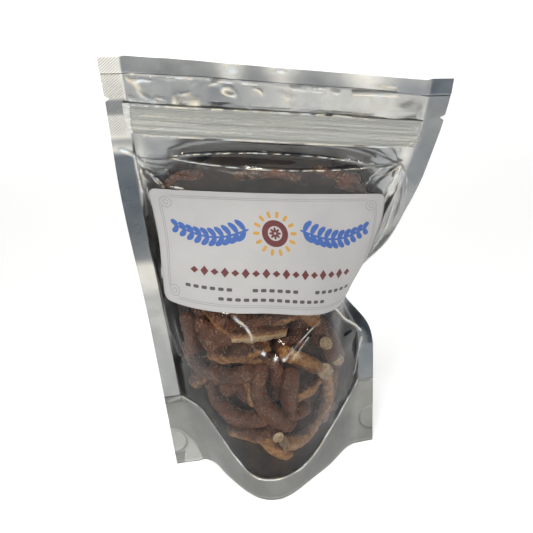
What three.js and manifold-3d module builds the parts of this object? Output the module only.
// A filled stand-up pouch: a clear front sheet sealed to a silvery back sheet and bottom gusset,
// with a press-to-close zip under the top edge and a paper label across the front.
// Millimetres, +Z up, front towards -Y. The origin is the middle of the base, on the surface it stands on.
import * as THREE from "three";
import { mergeVertices } from "three/examples/jsm/utils/BufferGeometryUtils.js";
import Module from "manifold-3d";

const wasm = await Module();
wasm.setup();

// The empty pouch, laid flat.
const FILM_HEIGHT = 205;
const SEAL_WIDTH = 8; // side seals
const GUSSET_HEIGHT = 40; // height of the bottom fold at the side seals
const BAND_HEIGHT = 7; // heat seal along the top edge
const NOTCH_HEIGHT = 188.5; // tear notches in both side seals
const NOTCH_DEPTH = 1.6;

// The filled pouch. Each line is a height with the size there; a smooth curve joins them.
// Reach and lean place the inner line of each side seal: how far out it is, and how far back.
const LEFT_REACH = [[0, 43], [90, 48.5], [160, 54], [FILM_HEIGHT, 53.5]];
const RIGHT_REACH = [
  [0, 45.5], [66, 43.5], [92, 35.5], [100, 37], [115, 44], [138, 53], [160, 59], [FILM_HEIGHT, 60.5],
];
const LEFT_LEAN = [[0, -4.5], [90, -0.5], [138, 1.8], [168, -1.2], [FILM_HEIGHT, -6.8]];
const RIGHT_LEAN = [[0, 1.5], [65, 7.5], [92, 9], [138, 6], [168, -2.5], [FILM_HEIGHT, -17]];
// The right-hand seal is folded back in the dent: the angle it is turned by, in degrees.
const RIGHT_TURN = [[60, 0], [90, 70], [104, 55], [130, 8], [145, 0]];
const FRONT_DEPTH = [
  [0, 29.8], [30, 31.2], [65, 31.5], [85, 29], [102, 24.5], [120, 17], [138, 8.5], [151, 3.5],
  [165, 2], [185, 1.4], [FILM_HEIGHT, 0.4],
];
const BACK_DEPTH = [
  [0, 30], [30, 31], [65, 30.5], [92, 28.5], [115, 25], [138, 18], [155, 10], [170, 3.5],
  [185, 1.4], [FILM_HEIGHT, 0.4],
];
const ROUNDNESS = [
  [0, 2.1], [20, 1.7], [40, 1.1], [65, 0.85], [91, 0.5], [115, 0.6], [138, 0.9], [155, 1],
];
const RIGHT_DROP = [[0, 0], [66, 1.5], [110, 7], [FILM_HEIGHT, 11.7]]; // the film is pulled down there
const BASE_SKEW = -0.07; // the base bulges furthest a little left of its middle
const SKEW_TOP = 70;

// Solid model of the sheets.
const FLAP_THICKNESS = 1.4;
const COLUMNS = 30;
const ROWS = 36;

// Bottom gusset: the pleat under the pouch, deep at the two side seals and flat in the middle.
const PLEAT_HEIGHT = 36;
const PLEAT_SHARES = [0.075, 0.3]; // from the side seal to where the floor meets the surface below
const SKIRT_THICKNESS = 1.5;
const PLEAT_HALF_GAP = 0.3;

// Press-to-close zip.
const ZIP_BOTTOM = 171.5;
const ZIP_HEIGHT = 13;
const ZIP_THICKNESS = 1.2;
const ZIP_RIBS = 3;
const ZIP_RIB_HEIGHT = 0.6;
const ZIP_POCKET = 0.6; // the zip sits this far into the front of the flap
const GAP = 0.3;

// The clear window of the front sheet, with the contents behind it. It ends below in the arc where the
// gusset is sealed on: the arc's height against the distance from the pouch's left edge.
const WINDOW_ARC = [[9.5, 43], [20, 43], [37, 20], [48, 12.5], [60, 11], [85, 12.5], [104, 21.5], [120, 39]];
const WINDOW_TOP = 168;
const WINDOW_INSET = 1.5;
const WINDOW_THICKNESS = 0.5;

// Label.
const LABEL_WIDTH = 101.6;
const LABEL_HEIGHT = 50.8;
const LABEL_BOTTOM = 102;
const LABEL_TOP = 151;
const LABEL_LEFT = 11.8; // from the pouch's left edge, along the film, at the label's top
const LABEL_SLANT = 4; // its lower edge is this much further right
const LABEL_CORNER = 3.2;
const LABEL_THICKNESS = 0.4;
const LABEL_GAP = 0.9; // over the window

// A smooth curve through [height, value] pairs that never overshoots them and is level beyond both ends.
function along(table, h) {
  if (h <= table[0][0]) return table[0][1];
  const last = table.length - 1;
  if (h >= table[last][0]) return table[last][1];
  const step = (i) => table[i + 1][0] - table[i][0];
  const slope = (i) => (table[i + 1][1] - table[i][1]) / step(i);
  const tangent = (i) => {
    if (i === 0 || i === last) return i ? slope(last - 1) : slope(0);
    const a = slope(i - 1);
    const b = slope(i);
    if (a * b <= 0) return 0;
    const wa = 2 * step(i) + step(i - 1);
    const wb = step(i) + 2 * step(i - 1);
    return (wa + wb) / (wa / a + wb / b);
  };
  const i = table.findIndex((row, k) => k < last && h < table[k + 1][0]);
  const t = (h - table[i][0]) / step(i);
  const t2 = t * t;
  const t3 = t2 * t;
  return (
    (2 * t3 - 3 * t2 + 1) * table[i][1] +
    (t3 - 2 * t2 + t) * step(i) * tangent(i) +
    (3 * t2 - 2 * t3) * table[i + 1][1] +
    (t3 - t2) * step(i) * tangent(i + 1)
  );
}

const smooth = (t) => {
  const c = THREE.MathUtils.clamp(t, 0, 1);
  return c * c * (3 - 2 * c);
};

// A point of the front (side -1) or back (side 1) sheet, with u from -1 to 1 between the side seals
// and beyond that on the seals themselves.
function sheetPoint(side, u, h) {
  const left = new THREE.Vector2(-along(LEFT_REACH, h), along(LEFT_LEAN, h));
  const right = new THREE.Vector2(along(RIGHT_REACH, h), along(RIGHT_LEAN, h));
  const chord = right.clone().sub(left).normalize();
  const across = THREE.MathUtils.clamp(u, -1, 1);
  const skew = BASE_SKEW * smooth(1 - h / SKEW_TOP) * (1 - across * across);
  const depth = along(side < 0 ? FRONT_DEPTH : BACK_DEPTH, h);
  const bulge = depth * Math.max(0, Math.cos(((across - skew) * Math.PI) / 2)) ** along(ROUNDNESS, h);
  const p = left.lerp(right, (across + 1) / 2);
  p.y += side * bulge;
  const onSeal = SEAL_WIDTH * Math.max(0, Math.abs(u) - 1);
  const turn = u > 1 ? THREE.MathUtils.degToRad(along(RIGHT_TURN, h)) : 0;
  p.addScaledVector(chord.rotateAround(new THREE.Vector2(), turn), Math.sign(u) * onSeal);
  return new THREE.Vector3(p.x, p.y, h - (along(RIGHT_DROP, h) * (across + 1)) / 2);
}

// One level line of a sheet from seal edge to seal edge, with its length measured along the film.
const SECTION_STEPS = 120;
function section(side, h) {
  const points = [-2, -1.5];
  for (let k = 0; k <= SECTION_STEPS; k++) points.push(-Math.cos((Math.PI * k) / SECTION_STEPS));
  points.push(1.5, 2);
  points.forEach((u, k) => {
    points[k] = sheetPoint(side, u, h);
  });
  const lengths = [0];
  for (let k = 1; k < points.length; k++) {
    lengths.push(lengths[k - 1] + points[k].distanceTo(points[k - 1]));
  }
  return { points, lengths, total: lengths.at(-1) };
}

// The point at a distance along a level line, from its left end.
function pointAt({ points, lengths }, distance) {
  let k = lengths.findIndex((length) => length >= distance);
  k = k < 1 ? (k < 0 ? points.length - 1 : 1) : k;
  const t = (distance - lengths[k - 1]) / (lengths[k] - lengths[k - 1]);
  return points[k - 1].clone().lerp(points[k], t);
}

// The front sheet's point at a distance s from its left edge, moved out of the sheet by lift.
const NORMAL_STEP = 0.5;
function onFront(s, h, lift) {
  const at = (ds, dh) => pointAt(section(-1, h + dh), s + ds);
  const across = at(NORMAL_STEP, 0).sub(at(-NORMAL_STEP, 0));
  const up = at(0, NORMAL_STEP).sub(at(0, -NORMAL_STEP));
  return at(0, 0).addScaledVector(across.cross(up).normalize(), lift);
}

// A closed body between a front grid and a back grid of points, both in rows from the bottom up.
function slab(front, back) {
  const rows = front.length;
  const columns = front[0].length;
  const position = [...front.flat(), ...back.flat()].flatMap((p) => p.toArray());
  const f = (i, j) => i * columns + j;
  const b = (i, j) => rows * columns + i * columns + j;
  const index = [];
  const quad = (p, q, r, s) => index.push(p, q, r, p, r, s);
  for (let i = 0; i + 1 < rows; i++) {
    for (let j = 0; j + 1 < columns; j++) {
      quad(f(i, j), f(i, j + 1), f(i + 1, j + 1), f(i + 1, j));
      quad(b(i, j), b(i + 1, j), b(i + 1, j + 1), b(i, j + 1));
    }
    quad(b(i, 0), f(i, 0), f(i + 1, 0), b(i + 1, 0));
    quad(f(i, columns - 1), b(i, columns - 1), b(i + 1, columns - 1), f(i + 1, columns - 1));
  }
  for (let j = 0; j + 1 < columns; j++) {
    quad(f(0, j), b(0, j), b(0, j + 1), f(0, j + 1));
    quad(f(rows - 1, j), f(rows - 1, j + 1), b(rows - 1, j + 1), b(rows - 1, j));
  }
  return new THREE.BufferGeometry()
    .setAttribute("position", new THREE.Float32BufferAttribute(position, 3))
    .setIndex(index);
}

function toSolid(geometry) {
  return new wasm.Manifold(
    new wasm.Mesh({
      numProp: 3,
      vertProperties: geometry.getAttribute("position").array,
      triVerts: new Uint32Array(geometry.index.array),
    }),
  );
}

function toGeometry(solid) {
  const { vertProperties, triVerts } = solid.getMesh();
  return new THREE.BufferGeometry()
    .setAttribute("position", new THREE.BufferAttribute(vertProperties, 3))
    .setIndex(new THREE.BufferAttribute(triVerts, 1));
}

const range = (n) => Array.from({ length: n + 1 }, (_, k) => k / n);

function pouchBody() {
  const sheet = (side) =>
    range(ROWS).map((t) => {
      const line = section(side, t * FILM_HEIGHT);
      return range(COLUMNS).map((c) => {
        const p = pointAt(line, c * line.total);
        return p.setY(p.y + (side * FLAP_THICKNESS) / 2);
      });
    });
  return toSolid(slab(sheet(-1), sheet(1)));
}

// The space of the pleat at one end of the gusset, between the front and back skirts.
const PLEAT_COLUMNS = 8;
const PLEAT_ROWS = 4;
const BELOW = 3;
function pleat(end) {
  const shares = range(PLEAT_COLUMNS).map((t) => {
    const share = THREE.MathUtils.lerp(PLEAT_SHARES[0], PLEAT_SHARES[1], t);
    return end < 0 ? share : 1 - share;
  });
  if (end > 0) shares.reverse();
  const top = (share) => {
    const fromEdge = end < 0 ? share : 1 - share;
    const t = (fromEdge - PLEAT_SHARES[0]) / (PLEAT_SHARES[1] - PLEAT_SHARES[0]);
    return PLEAT_HEIGHT * Math.max(0, 1 - t) ** 1.5 - 0.5 * t;
  };
  const wall = (side) =>
    range(PLEAT_ROWS).map((t) =>
      shares.map((share) => {
        const z = THREE.MathUtils.lerp(-BELOW, top(share), t);
        const [front, back] = [-1, 1].map((which) => {
          const line = section(which, Math.max(z, 0));
          return pointAt(line, share * line.total);
        });
        const middle = front.lerp(back, 0.5);
        const half = Math.max(PLEAT_HALF_GAP, back.y - middle.y - SKIRT_THICKNESS);
        return middle.set(middle.x, middle.y + side * half, z);
      }),
    );
  return toSolid(slab(wall(-1), wall(1)));
}

// A wedge that cuts a tear notch into a side seal.
const NOTCH_HALF = 1.1;
const NOTCH_REACH = 6;
function notch(end) {
  const tip = sheetPoint(-1, 2 * end, NOTCH_HEIGHT);
  const wedge = new THREE.Shape([
    new THREE.Vector2(-end * NOTCH_DEPTH, 0),
    new THREE.Vector2(end * NOTCH_DEPTH, -2 * NOTCH_HALF),
    new THREE.Vector2(end * NOTCH_DEPTH, 2 * NOTCH_HALF),
  ]);
  const cut = new THREE.ExtrudeGeometry(wedge, { depth: 2 * NOTCH_REACH, bevelEnabled: false });
  cut.rotateX(Math.PI / 2);
  cut.translate(tip.x, tip.y + NOTCH_REACH, tip.z);
  cut.deleteAttribute("normal");
  cut.deleteAttribute("uv");
  return mergeVertices(cut);
}

// The zip strip, or with a margin the pocket that it sits in.
const ZIP_COLUMNS = 20;
function zipStrip(margin) {
  const edge = SEAL_WIDTH - margin;
  const rows = margin ? 1 : 4 * ZIP_RIBS + 2;
  const height = (t) => ZIP_BOTTOM - margin + t * (ZIP_HEIGHT + 2 * margin);
  const rib = (t) => (margin ? 0 : ZIP_RIB_HEIGHT * Math.max(0, -Math.cos(2 * Math.PI * ZIP_RIBS * t)));
  const face = (lift) =>
    range(rows).map((t) => {
      const width = section(-1, height(t)).total;
      return range(ZIP_COLUMNS).map((c) => {
        return onFront(THREE.MathUtils.lerp(edge, width - edge, c), height(t), lift(t));
      });
    });
  const floor = FLAP_THICKNESS / 2 - ZIP_POCKET;
  const front = margin ? () => FLAP_THICKNESS + ZIP_THICKNESS : (t) => floor + ZIP_THICKNESS + rib(t);
  return slab(face(front), face(() => floor - margin));
}

const WINDOW_COLUMNS = 28;
const WINDOW_ROWS = 16;
function windowSheet() {
  const arcWidth = WINDOW_ARC.at(-1)[0] - WINDOW_ARC[0][0];
  const face = (lift) =>
    range(WINDOW_ROWS).map((t) =>
      range(WINDOW_COLUMNS).map((c) => {
        const low = along(WINDOW_ARC, WINDOW_ARC[0][0] + c * arcWidth);
        const h = THREE.MathUtils.lerp(low, WINDOW_TOP, t);
        const inset = SEAL_WIDTH + WINDOW_INSET;
        return onFront(THREE.MathUtils.lerp(inset, section(-1, h).total - inset, c), h, lift);
      }),
    );
  const under = FLAP_THICKNESS / 2 + GAP;
  return slab(face(under + WINDOW_THICKNESS), face(under));
}

// The label, wrapped on the front sheet, with round corners made by its shorter first and last rows.
const LABEL_COLUMNS = 18;
const LABEL_ROWS = 10;
const CORNER_ROWS = 3;
function labelSheet() {
  const corner = LABEL_CORNER / LABEL_HEIGHT;
  const shares = [
    ...range(CORNER_ROWS).map((t) => corner * (1 - Math.cos((t * Math.PI) / 2))),
    ...range(LABEL_ROWS).slice(1, -1).map((t) => corner + t * (1 - 2 * corner)),
    ...range(CORNER_ROWS).map((t) => 1 - corner * (1 - Math.sin((t * Math.PI) / 2))),
  ];
  const halfWidth = (t) => {
    const fromEdge = Math.min(t, 1 - t) * LABEL_HEIGHT;
    const inCorner = Math.max(0, LABEL_CORNER - fromEdge);
    return LABEL_WIDTH / 2 - LABEL_CORNER + Math.sqrt(Math.max(0, LABEL_CORNER ** 2 - inCorner ** 2));
  };
  const face = (lift) =>
    shares.map((t) =>
      range(LABEL_COLUMNS).map((c) =>
        onFront(
          LABEL_LEFT + LABEL_SLANT * (1 - t) + LABEL_WIDTH / 2 + (2 * c - 1) * halfWidth(t),
          THREE.MathUtils.lerp(LABEL_BOTTOM, LABEL_TOP, t),
          lift,
        ),
      ),
    );
  const under = FLAP_THICKNESS / 2 + GAP + WINDOW_THICKNESS + LABEL_GAP;
  return slab(face(under + LABEL_THICKNESS), face(under));
}

const silver = new THREE.MeshStandardMaterial({ color: 0x9c9f9e, roughness: 0.25, metalness: 1 });
const behindFilm = new THREE.MeshStandardMaterial({ color: 0x4f3527, roughness: 0.3, metalness: 0 });
const clearPlastic = new THREE.MeshStandardMaterial({ color: 0xb9bab4, roughness: 0.3, metalness: 0 });
const paper = new THREE.MeshStandardMaterial({ color: 0xd9d8d6, roughness: 0.55, metalness: 0 });

const group = new THREE.Group();
function add(name, geometry, material) {
  const mesh = new THREE.Mesh(geometry, material);
  mesh.name = name;
  group.add(mesh);
}

const body = pouchBody()
  .subtract(pleat(-1))
  .subtract(pleat(1))
  .subtract(toSolid(zipStrip(GAP)))
  .subtract(toSolid(notch(-1)))
  .subtract(toSolid(notch(1)));
add("pouch", toGeometry(body), silver);
add("window", windowSheet(), behindFilm);
add("zipper", zipStrip(0), clearPlastic);
add("label", labelSheet(), paper);

export default group;
